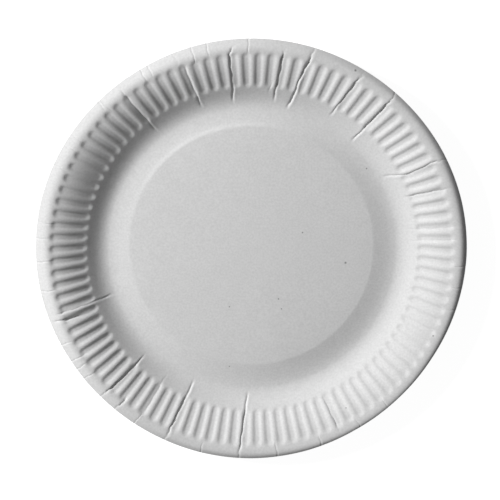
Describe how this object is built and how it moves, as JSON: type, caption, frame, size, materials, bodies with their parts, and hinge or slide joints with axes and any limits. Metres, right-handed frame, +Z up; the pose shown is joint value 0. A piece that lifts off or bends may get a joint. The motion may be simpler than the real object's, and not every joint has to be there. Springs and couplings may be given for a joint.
{
  "type": "paper plate",
  "caption": "Round pressed paperboard plate with a raised disc, a foot ring, a fluted sloping wall and a rolled-down lip.",
  "frame": {"origin": "on the plate's axis, on the surface that the plate stands on", "axes": "+Z up along the plate's axis; the plate has no front, and X and Y are any two radial directions"},
  "size_m": [0.23, 0.23, 0.0155],
  "materials": {
    "paperboard": "matt uncoated white board with a fine grain"
  },
  "bodies": {
    "root": {"plate": "paperboard"}
  },
  "joints": []
}
